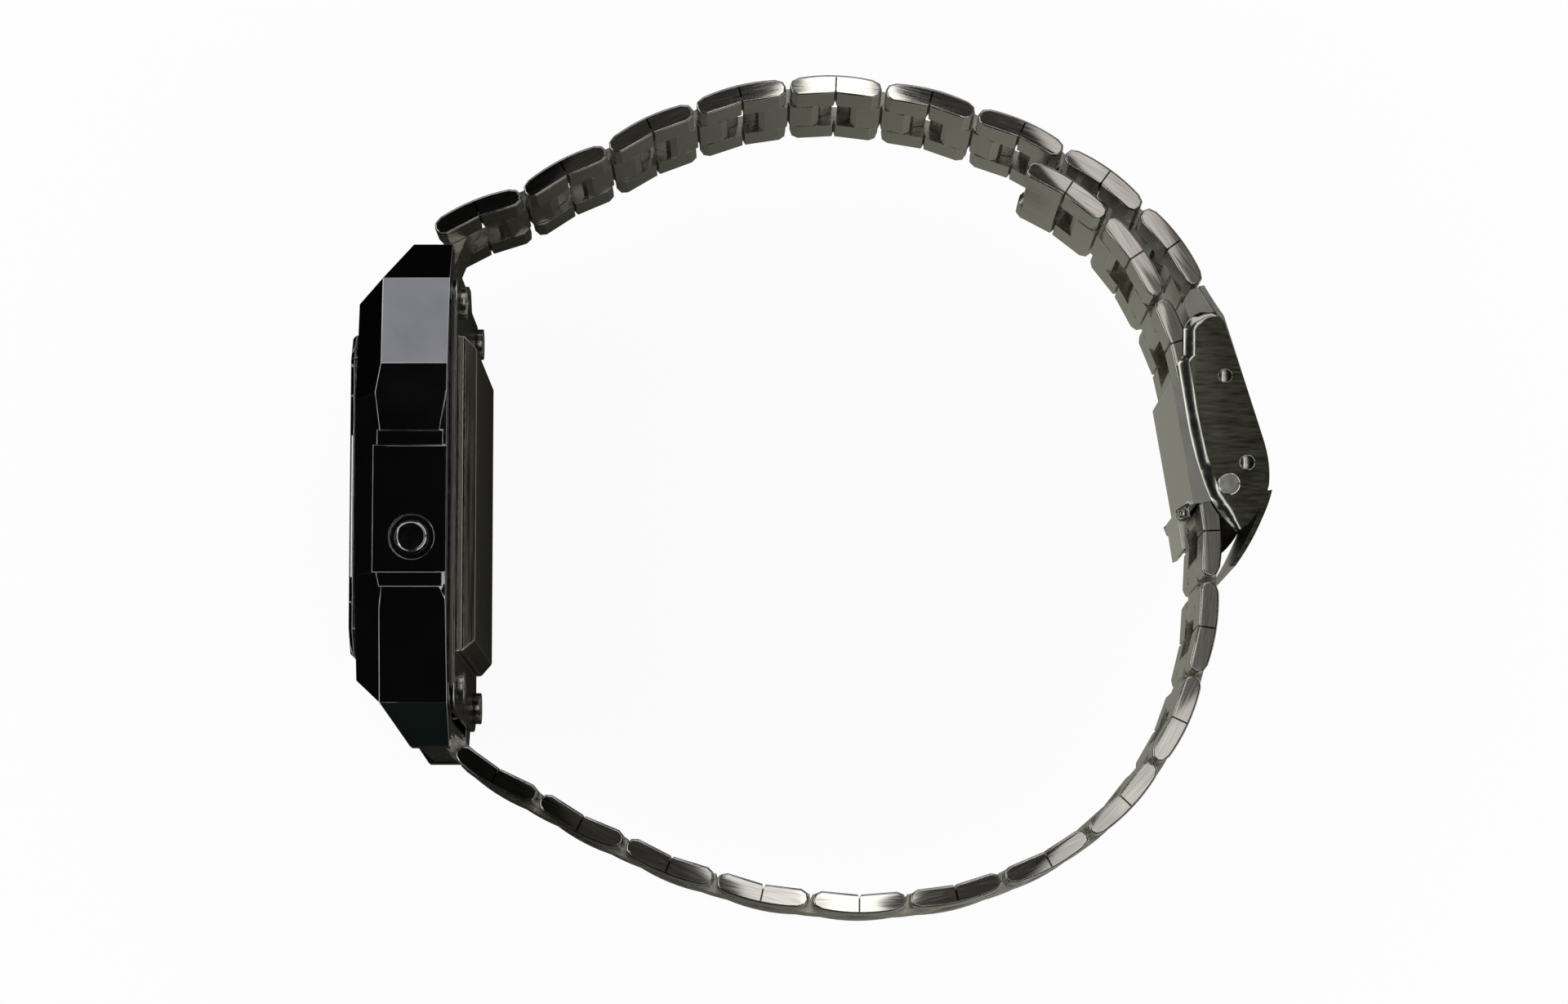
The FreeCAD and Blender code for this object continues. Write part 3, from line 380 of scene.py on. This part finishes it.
show_digits("hour_figures", "12", 3.8 * MM, 2.0 * MM, -6.5 * MM)
show_digits("minute_figures", "36", 3.8 * MM, 2.0 * MM, 0.0 * MM)
show_digits("second_figures", "50", 2.2 * MM, 2.8 * MM, 5.9 * MM)
show_digits("date_figures", "28", 1.9 * MM, -4.0 * MM, 5.0 * MM)
colon = []
for offset in (-0.8, 0.8):
    deselect()
    dot_place = ((2.0 + offset) * MM, glass_low.y - 0.006 * MM, -1.75 * MM)
    bpy.ops.mesh.primitive_cube_add(size=0.45 * MM, location=dot_place)
    dot = bpy.context.object
    dot.scale = (1, 0.02, 1)
    bpy.ops.object.transform_apply(location=True, rotation=True, scale=True)
    bpy.ops.object.mode_set(mode="EDIT")
    bpy.ops.mesh.bevel(offset=0.003 * MM, segments=1)
    bpy.ops.object.mode_set(mode="OBJECT")
    dot.data.materials.append(segment_dark)
    colon.append(dot)
deselect()
for dot in colon:
    dot.select_set(True)
bpy.context.view_layer.objects.active = colon[0]
bpy.ops.object.join()
colon[0].name = "colon_dots"
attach(colon[0], "case")


# The light panel and the contact strips
# A pale film that glows behind the display, and two strips of rubber with hair-fine
# dark layers that press the display's contacts onto the board.
film_pale, tree, shader = new_tree("film_pale")
film_tone = grain(tree, (800, 800, 800), 3, "Object")
tree.links.new(shades(tree, film_tone, (0.66, 0.71, 0.62), (0.74, 0.78, 0.70)), shader.inputs["Base Color"])
shader.inputs["Roughness"].default_value = 0.5
finish_node("light_panel", film_pale)

strip_rubber, tree, shader = new_tree("strip_rubber")
layers = grain(tree, (200, 200, 12000), 0, "Object")
tree.links.new(shades(tree, layers, (0.015, 0.015, 0.015), (0.42, 0.32, 0.27)), shader.inputs["Base Color"])
shader.inputs["Roughness"].default_value = 0.7
finish_node("contact_strips", strip_rubber)


# The movement
# A black moulded frame round a green board, with a black chip, a steel can for the
# quartz, and a coin cell under a flat spring clip.
frame_black, tree, shader = new_tree("frame_black")
pores = grain(tree, (3000, 3000, 3000), 4, "Object")
tree.links.new(shades(tree, pores, (0.012, 0.012, 0.012), (0.03, 0.03, 0.03)), shader.inputs["Base Color"])
tree.links.new(spread(tree, pores, 0.45, 0.65), shader.inputs["Roughness"])
raised(tree, pores, 0.01 * MM, shader)
finish_node("module_frame", frame_black)
finish_node("chip", frame_black)

board_green, tree, shader = new_tree("board_green")
tracks = grain(tree, (900, 900, 900), 0, "Object")
tree.links.new(shades(tree, tracks, (0.006, 0.045, 0.02), (0.02, 0.11, 0.04)), shader.inputs["Base Color"])
tree.links.new(spread(tree, tracks, 0.25, 0.45), shader.inputs["Roughness"])
raised(tree, tracks, 0.02 * MM, shader)
finish_node("circuit_board", board_green)

bright_steel = metal("bright_steel", (0.48, 0.47, 0.45), (0.62, 0.61, 0.59), 0.16, 0.3,
                     (4000, 400, 4000), 0.001 * MM)
for node in ("quartz_can", "battery", "battery_clip"):
    finish_node(node, bright_steel)


# The case back
# A pressed stainless steel pan with a sloping rim, brushed across, on a flange that
# four cross-slot screws hold over a rubber gasket, with the brass sounder inside.
# Painted shade and highlight: the back's steel is painted a dark olive that stands for dark reflections, and its
# rim bevel is painted light as a highlight.
back_steel_painted_shade = metal("back_steel_painted_shade", (0.09, 0.086, 0.072), (0.17, 0.16, 0.138), 0.16, 0.3,
                   (150, 3000, 3000), 0.002 * MM)
back_edge_highlight = metal("back_edge_highlight", (0.5, 0.5, 0.46), (0.62, 0.61, 0.56), 0.12, 0.2,
                  (900, 900, 900), 0.0006 * MM)
back = take_copy("case_back")
back.data.materials.append(back_steel_painted_shade)
back.data.materials.append(back_edge_highlight)
soften(back, 0.12 * MM, 30, 1, 3)
dress(back, "case_back")

screws = take_copy("back_screws")
screws.data.materials.append(bright_steel)
screws.data.materials.append(bright_steel)
soften(screws, 0.1 * MM, 50, 1, 9)
dress(screws, "back_screws")

brass = metal("sounder_brass", (0.5, 0.36, 0.12), (0.64, 0.48, 0.2), 0.2, 0.35,
              (1500, 1500, 1500), 0.001 * MM)
finish_node("sounder_disc", brass)

gasket_rubber, tree, shader = new_tree("gasket_rubber")
bloom = grain(tree, (1500, 1500, 1500), 4, "Object")
tree.links.new(shades(tree, bloom, (0.01, 0.01, 0.01), (0.035, 0.035, 0.033)), shader.inputs["Base Color"])
tree.links.new(spread(tree, bloom, 0.6, 0.85), shader.inputs["Roughness"])
finish_node("back_gasket", gasket_rubber)


# The push buttons
# Turned steel heads in round recesses, polished, each on a stem with a ring clip
# inside the case and a coil spring under the head.
button_steel = metal("button_steel", (0.26, 0.26, 0.27), (0.38, 0.38, 0.39), 0.05, 0.14,
                     (1400, 1400, 200), 0.0006 * MM)
for side in ("light", "mode", "alarm"):
    button = take_copy(side + "_button")
    button.data.materials.append(button_steel)
    button.data.materials.append(case_edge_highlight)
    soften(button, 0.22 * MM, 40, 1, 9)
    dress(button, side + "_button")
    finish_node(side + "_button_clip", bright_steel)
finish_node("button_springs", bright_steel)


# The strap
# Strips of stainless steel folded round cross pins in three columns. The long sides
# are ground, the outside is brushed lengthwise, and the polished fold edges are painted lighter as a highlight.
def bevel_rim(piece, level, width, steps, kept_out):
    """Polished bevel on the rims of the outer faces that lie at a given height."""
    mesh = piece.data
    rim = set()
    for face in mesh.polygons:
        if abs(abs(face.center.z) - level) < 0.01 * MM and abs(face.normal.z) > 0.99:
            rim.symmetric_difference_update(face.edge_keys)
    piece.select_set(True)
    bpy.context.view_layer.objects.active = piece
    bpy.context.tool_settings.mesh_select_mode = (False, True, False)
    bpy.ops.object.mode_set(mode="EDIT")
    bpy.ops.mesh.select_all(action="DESELECT")
    bpy.ops.object.mode_set(mode="OBJECT")
    for edge in mesh.edges:
        middle = (mesh.vertices[edge.vertices[0]].co + mesh.vertices[edge.vertices[1]].co) / 2
        edge.select = tuple(sorted(edge.vertices)) in rim and not kept_out(middle)
    bpy.ops.object.mode_set(mode="EDIT")
    bpy.ops.mesh.bevel(offset=width, segments=steps, affect="EDGES", material=1, clamp_overlap=False)
    bpy.ops.object.mode_set(mode="OBJECT")
    bpy.context.tool_settings.mesh_select_mode = (True, False, False)


def link_direction(piece):
    """Direction of a link's outer columns, from how their corners are spread."""
    spots = [v.co for v in piece.data.vertices if abs(v.co.z) > 8.5 * MM]
    middle = sum(spots, Vector()) / len(spots)
    along = sum((s.y - middle.y) ** 2 - (s.x - middle.x) ** 2 for s in spots)
    across = sum((s.y - middle.y) * (s.x - middle.x) for s in spots)
    return middle, 0.5 * math.atan2(2 * across, along)


def lay_grain(piece, seed):
    """Coordinates along, out from and across the link, kept for its grain."""
    middle, angle = link_direction(piece)
    along = Vector((math.sin(angle), math.cos(angle), 0))
    out = Vector((-math.cos(angle), math.sin(angle), 0))
    shift = random.Random(seed).uniform(0, 1)
    rows = piece.data.attributes.new("link_grain", "FLOAT_VECTOR", "POINT")
    for spot, row in zip(piece.data.vertices, rows.data):
        offset = spot.co - middle
        row.vector = (offset.dot(along) + shift, offset.dot(out) + shift, spot.co.z)
    seam = piece.data.attributes.new("link_seam", "FLOAT", "POINT")
    for spot, row in zip(piece.data.vertices, seam.data):
        row.value = (spot.co - middle).dot(along)


folded_steel = metal("folded_steel", (0.36, 0.35, 0.31), (0.50, 0.49, 0.43), 0.16, 0.3,
                     (600, 2500, 900), 0.0015 * MM, "link_grain")
# Painted highlight: the edges of the folds are painted much lighter than the folded steel beside them.
polished_fold_highlight = metal("polished_fold_highlight", (0.66, 0.66, 0.62), (0.78, 0.78, 0.74), 0.12, 0.22,
                      (900, 900, 900), 0.0006 * MM, "link_grain")
ground_side = metal("ground_side", (0.40, 0.39, 0.37), (0.66, 0.64, 0.60), 0.03, 0.065,
                    (350, 7000, 900), 0.0001 * MM, "link_grain")
brushed_outside = metal("brushed_outside", (0.42, 0.41, 0.39), (0.60, 0.59, 0.56), 0.16, 0.3,
                        (200, 900, 9000), 0.0015 * MM, "link_grain")


# Two halves of each side meet in a seam, which shows as a thin dark line.
tree = ground_side.node_tree
shader = tree.nodes["Principled BSDF"]
seam = tree.nodes.new("ShaderNodeAttribute")
seam.attribute_name = "link_seam"
apart = tree.nodes.new("ShaderNodeMath")
apart.operation = "ABSOLUTE"
gap = tree.nodes.new("ShaderNodeMapRange")
gap.inputs["From Min"].default_value = 0.04 * MM
gap.inputs["From Max"].default_value = 0.09 * MM
gap.inputs["To Min"].default_value = 0.03
gap.inputs["To Max"].default_value = 1
darken = tree.nodes.new("ShaderNodeMixRGB")
darken.blend_type = "MULTIPLY"
darken.inputs["Fac"].default_value = 1
tree.links.new(seam.outputs["Fac"], apart.inputs[0])
tree.links.new(apart.outputs["Value"], gap.inputs["Value"])
tree.links.new(shader.inputs["Base Color"].links[0].from_socket, darken.inputs["Color1"])
tree.links.new(gap.outputs["Result"], darken.inputs["Color2"])
tree.links.new(darken.outputs["Color"], shader.inputs["Base Color"])


def finish_link(node, seed):
    piece = take_copy(node)
    for material in (folded_steel, polished_fold_highlight, ground_side, brushed_outside):
        piece.data.materials.append(material)
    middle, angle = link_direction(piece)
    along = Vector((math.sin(angle), math.cos(angle), 0))
    if "link" in node:
        bevel_rim(piece, 9 * MM, 0.16 * MM, 2, lambda spot: abs((spot - middle).dot(along)) < 0.3 * MM)
    soften(piece, 0.1 * MM, 24, 1, 99)
    centre = Vector((13, 27, 0)) * MM
    for face in piece.data.polygons:
        outward = Vector((face.center.x - centre.x, face.center.y - centre.y, 0)).normalized()
        if face.material_index == 1:
            continue
        if abs(face.normal.z) > 0.95 and abs(face.center.z) > 8.5 * MM:
            face.material_index = 2
        elif face.normal.dot(outward) > 0.75:
            face.material_index = 3
    lay_grain(piece, seed)
    dress(piece, node)


strap = ["upper_end_piece", "lower_end_piece"]
strap += ["upper_link_%d" % count for count in range(1, 10)]
strap += ["lower_link_%d" % count for count in range(1, 16)]
for seed, node in enumerate(strap):
    finish_link(node, seed)
finish_node("spring_bars", bright_steel)


# The clasp
# Stamped stainless steel: two side walls with a wide polished bevel, a hinged cover,
# and a channel under the strap, all riveted, with a small lever that clamps the strap.
# Painted shade and highlight: the side walls are painted nearly black for the dark reflection they show, and the
# wide bevel and the pin edges are painted nearly white, though all are the same steel.
clasp_side_painted_shade = metal("clasp_side_painted_shade", (0.05, 0.05, 0.038), (0.15, 0.147, 0.115), 0.12, 0.26,
                   (5200, 700, 5200), 0.002 * MM)
clasp_bevel_highlight = metal("clasp_bevel_highlight", (0.74, 0.75, 0.68), (0.84, 0.85, 0.78), 0.12, 0.2,
                    (1500, 400, 1500), 0.0008 * MM)
clasp_top = metal("clasp_top", (0.40, 0.40, 0.37), (0.58, 0.57, 0.53), 0.14, 0.26,
                  (400, 400, 9000), 0.0015 * MM)


clasp_body = take_copy("clasp_body")
for material in (clasp_side_painted_shade, clasp_bevel_highlight):
    clasp_body.data.materials.append(material)
pin_places = []
for node in ("clasp_hinge_pin", "clasp_catch_pin", "clasp_rivets"):
    low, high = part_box(node)
    pin_places.append((low + high) / 2)


def kept_square(spot):
    """Rims that stay square: round the pins, along the cover and at the curved lip."""
    if min((spot.xy - pin.xy).length for pin in pin_places) < 0.7 * MM:
        return True
    top = spot.x < -10 * MM and spot.y > 56.8 * MM
    return top or spot.y > 58.4 * MM or spot.x > 2.75 * MM


def wrist_rim(piece, level):
    """Corners of the rim that gets the wide bevel, in order from its top to its tip."""
    mesh = piece.data
    rim = set()
    for face in mesh.polygons:
        if abs(face.center.z - level) < 0.01 * MM and face.normal.z > 0.99:
            rim.symmetric_difference_update(face.edge_keys)
    near = {}
    for first, second in rim:
        if not kept_square((mesh.vertices[first].co + mesh.vertices[second].co) / 2):
            near.setdefault(first, []).append(second)
            near.setdefault(second, []).append(first)
    ends = [corner for corner in near if len(near[corner]) == 1]
    corner = min(ends, key=lambda end: mesh.vertices[end].co.x)
    order = [corner]
    while len(order) < len(near):
        corner = [other for other in near[corner] if other not in order][0]
        order.append(corner)
    return [mesh.vertices[corner].co.copy() for corner in order]


def cut_bevel(piece, path, inner, side):
    """A wide bevel cut along the rim by a bar with a slanting face, narrower at both ends."""
    deselect()
    bpy.ops.mesh.primitive_plane_add(size=MM)
    bar = bpy.context.object
    bpy.ops.object.mode_set(mode="EDIT")
    for station in path[1:]:
        bpy.ops.mesh.extrude_region_move(TRANSFORM_OT_translate={"value": (0, 0, MM)})
    bpy.ops.object.mode_set(mode="OBJECT")
    reach = [0]
    for before, after in zip(path, path[1:]):
        reach.append(reach[-1] + (after - before).length)
    for vertex in bar.data.vertices:
        station = round(vertex.co.z / MM)
        run = path[min(station + 1, len(path) - 1)] - path[max(station - 1, 0)]
        inward = Vector((run.y, -run.x, 0)).normalized()
        if inward.dot(inner - path[station]) < 0:
            inward = -inward
        from_end = min(reach[station], reach[-1] - reach[station])
        width = 0.85 * MM * min(1, 0.3 + from_end / (2.5 * MM))
        shift = width + 0.3 * MM if vertex.co.x > 0 else -0.5 * MM
        height = 10.1 * MM + (shift - width) * 0.47
        if vertex.co.y > 0:
            height = 10.7 * MM
        spot = path[station] + inward * shift
        vertex.co = (spot.x, spot.y, height * side)
    bar.data.materials.append(clasp_side_painted_shade)
    bar.data.materials.append(clasp_bevel_highlight)
    for face in bar.data.polygons:
        face.material_index = 1
    bpy.ops.object.mode_set(mode="EDIT")
    bpy.ops.mesh.select_all(action="SELECT")
    bpy.ops.mesh.normals_make_consistent(inside=False)
    bpy.ops.object.mode_set(mode="OBJECT")
    cut = piece.modifiers.new("cut", "BOOLEAN")
    cut.operation = "DIFFERENCE"
    cut.solver = "EXACT"
    cut.use_self = True
    cut.use_hole_tolerant = True
    cut.object = bar
    bpy.context.view_layer.objects.active = piece
    bpy.ops.object.modifier_apply(modifier="cut")
    bpy.data.objects.remove(bar)


wrist_path = wrist_rim(clasp_body, 10.1 * MM)
wrist_path[0] += (wrist_path[0] - wrist_path[1]).normalized() * 0.3 * MM
wrist_path[-1] += (wrist_path[-1] - wrist_path[-2]).normalized() * 0.3 * MM
clasp_middle = sum(pin_places, Vector()) / len(pin_places)
bpy.context.view_layer.objects.active = clasp_body
bpy.ops.object.mode_set(mode="EDIT")
bpy.ops.mesh.select_all(action="SELECT")
bpy.ops.mesh.quads_convert_to_tris()
bpy.ops.object.mode_set(mode="OBJECT")
for side in (1, -1):
    cut_bevel(clasp_body, wrist_path, clasp_middle, side)
bpy.ops.object.mode_set(mode="EDIT")
bpy.ops.mesh.select_all(action="SELECT")
bpy.ops.mesh.remove_doubles(threshold=0.002 * MM)
bpy.ops.mesh.dissolve_limited(angle_limit=math.radians(1))
bpy.ops.mesh.normals_make_consistent(inside=False)
bpy.ops.object.mode_set(mode="OBJECT")
soften(clasp_body, 0.08 * MM, 35, 1, 0.2)
dress(clasp_body, "clasp_body")

for node in ("clasp_cover", "clasp_inner_plate"):
    piece = take_copy(node)
    piece.data.materials.append(clasp_top)
    piece.data.materials.append(clasp_bevel_highlight)
    soften(piece, 0.09 * MM, 30, 1, 99)
    dress(piece, node)

pin_steel = metal("pin_steel", (0.56, 0.56, 0.5), (0.7, 0.7, 0.63), 0.1, 0.2,
                  (2500, 2500, 2500), 0.001 * MM)
for node in ("clasp_hinge_pin", "clasp_catch_pin", "clasp_rivets", "clamp_lever", "clamp_lever_pin", "clamp_bar"):
    piece = take_copy(node)
    low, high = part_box(node)
    piece.data.materials.append(pin_steel)
    piece.data.materials.append(clasp_bevel_highlight)
    soften(piece, (0.2 if low.z < -10.3 * MM else 0.09) * MM, 40, 1, 99)
    dress(piece, node)


# The studio
# A white table in a white room. Cards that only the polished faces can see give them
# the dark, grey and white bands of a tabletop shot.
def card(name, middle, size, facing, colour):
    deselect()
    bpy.ops.mesh.primitive_plane_add(size=1, location=middle)
    sheet = bpy.context.object
    sheet.name = name
    sheet.scale = (size[0], size[1], 1)
    sheet.rotation_mode = "QUATERNION"
    sheet.rotation_quaternion = Vector(facing).to_track_quat("Z", "Y")
    sheet.visible_camera = False
    sheet.visible_diffuse = False
    sheet.visible_shadow = False
    sheet.visible_transmission = False
    cloth = bpy.data.materials.new(name)
    cloth.use_nodes = True
    cloth_tree = cloth.node_tree
    glow = cloth_tree.nodes.new("ShaderNodeEmission")
    glow.inputs["Color"].default_value = (*colour, 1)
    cloth_tree.links.new(glow.outputs["Emission"], cloth_tree.nodes["Material Output"].inputs["Surface"])
    sheet.data.materials.append(cloth)
    return cloth_tree, glow


BLACK = (0.006, 0.006, 0.006)
card("overhead_flag", (0, 0, 0.45), (1.6, 1.6), (0, 0, -1), BLACK)
card("north_flag", (-0.75, 0, 0.40), (0.5, 1.6), (1, 0, 0), BLACK)
card("south_flag", (0.75, 0, 0.40), (0.5, 1.6), (-1, 0, 0), (0.02, 0.025, 0.022))
card("west_flag", (0, -0.75, 0.40), (0.5, 1.6), (0, 1, 0), BLACK)
card("north_case_flag", (-0.10, -0.015, 0.02), (0.10, 0.06), (1, 0, 0), (0.004, 0.004, 0.004))
card("south_case_flag", (0.10, -0.015, 0.02), (0.10, 0.06), (-1, 0, 0), (0.012, 0.018, 0.014))
card("west_case_flag", (0.0, -0.12, 0.01), (0.10, 0.20), (0, 1, 0), (0.006, 0.006, 0.006))
# A card at the table's height that only reflections see: it puts a dark reflection, dim grey towards +Y, into the
# metal where the white table would show.
table_tree, table_glow = card("table_reflection_card", (0, 0.02, cad_low.z + 0.0002), (1.2, 1.2), (0, 0, 1), BLACK)
spot = table_tree.nodes.new("ShaderNodeNewGeometry")
axes = table_tree.nodes.new("ShaderNodeSeparateXYZ")
ramp = table_tree.nodes.new("ShaderNodeValToRGB")
fade = table_tree.nodes.new("ShaderNodeMapRange")
fade.inputs["From Min"].default_value = -0.022
fade.inputs["From Max"].default_value = 0.05
ramp.color_ramp.elements[0].color = (0.003, 0.0027, 0.0023, 1)
ramp.color_ramp.elements[1].color = (0.29, 0.29, 0.25, 1)
early = ramp.color_ramp.elements.new(0.35)
early.color = (0.025, 0.0225, 0.018, 1)
table_tree.links.new(spot.outputs["Position"], axes.inputs["Vector"])
table_tree.links.new(axes.outputs["Y"], fade.inputs["Value"])
table_tree.links.new(fade.outputs["Result"], ramp.inputs["Fac"])
table_tree.links.new(ramp.outputs["Color"], table_glow.inputs["Color"])
card("first_strip", (-0.05, 0.0335, 0.400), (0.3, 0.015), (0, 0, -1), (2.4, 2.4, 2.3))
card("second_strip", (-0.05, 0.073, 0.400), (0.3, 0.013), (0, 0, -1), (0.9, 0.88, 0.86))
card("third_strip", (-0.05, 0.095, 0.402), (0.5, 0.040), (0, 0, -1), (0.17, 0.165, 0.15))
card("fourth_strip", (-0.05, 0.053, 0.402), (0.5, 0.020), (0, 0, -1), (0.05, 0.045, 0.042))
card("west_window", (0.0, -0.30, 0.25), (0.34, 0.38), (0, 1, 0), (1.3, 1.3, 1.25))
card("east_flag", (-0.09, 0.75, 0.32), (0.14, 0.8), (0, -1, 0), (0.01, 0.01, 0.01))
card("dim_strip", (-0.05, 0.007, 0.402), (0.5, 0.036), (0, 0, -1), (0.045, 0.042, 0.038))
card("low_first_strip", (0.012, 0.0225, 0.399), (0.06, 0.013), (0, 0, -1), (1.3, 1.3, 1.28))
card("low_second_strip", (0.015, 0.087, 0.399), (0.055, 0.016), (0, 0, -1), (1.0, 1.0, 0.97))
card("high_second_strip", (-0.105, 0.083, 0.399), (0.05, 0.009), (0, 0, -1), (0.8, 0.76, 0.75))
card("grey_card", (-0.37, -0.03, 0.345), (0.34, 0.34), (0.73, 0.07, -0.68), (0.60, 0.58, 0.62))

deselect()
bpy.ops.mesh.primitive_plane_add(size=6, location=(0, 0, cad_low.z))
table = bpy.context.object
table.name = "table"
table_white, tree, shader = new_tree("table_white")
shader.inputs["Base Color"].default_value = (0.9, 0.9, 0.9, 1)
shader.inputs["Roughness"].default_value = 0.7
glow = tree.nodes.new("ShaderNodeEmission")
glow.inputs["Color"].default_value = (1, 1, 1, 1)
glow.inputs["Strength"].default_value = 1
path = tree.nodes.new("ShaderNodeLightPath")
seen = tree.nodes.new("ShaderNodeMath")
seen.operation = "MAXIMUM"
share = tree.nodes.new("ShaderNodeMath")
share.operation = "MULTIPLY"
share.inputs[1].default_value = 0.92
mirrored = tree.nodes.new("ShaderNodeMath")
mirrored.operation = "MAXIMUM"
blend = tree.nodes.new("ShaderNodeMixShader")
tree.links.new(path.outputs["Is Glossy Ray"], mirrored.inputs[0])
tree.links.new(path.outputs["Is Transmission Ray"], mirrored.inputs[1])
tree.links.new(path.outputs["Is Camera Ray"], share.inputs[0])
tree.links.new(share.outputs["Value"], seen.inputs[0])
tree.links.new(mirrored.outputs["Value"], seen.inputs[1])
tree.links.new(seen.outputs["Value"], blend.inputs["Fac"])
tree.links.new(shader.outputs["BSDF"], blend.inputs[1])
tree.links.new(glow.outputs["Emission"], blend.inputs[2])
tree.links.new(blend.outputs["Shader"], tree.nodes["Material Output"].inputs["Surface"])
table.data.materials.append(table_white)

world = bpy.data.worlds.new("white_room")
bpy.context.scene.world = world
world.use_nodes = True
room = world.node_tree.nodes["Background"]
room.inputs["Color"].default_value = (1, 1, 1, 1)
room.inputs["Strength"].default_value = 1
bpy.context.scene.view_settings.view_transform = "Standard"
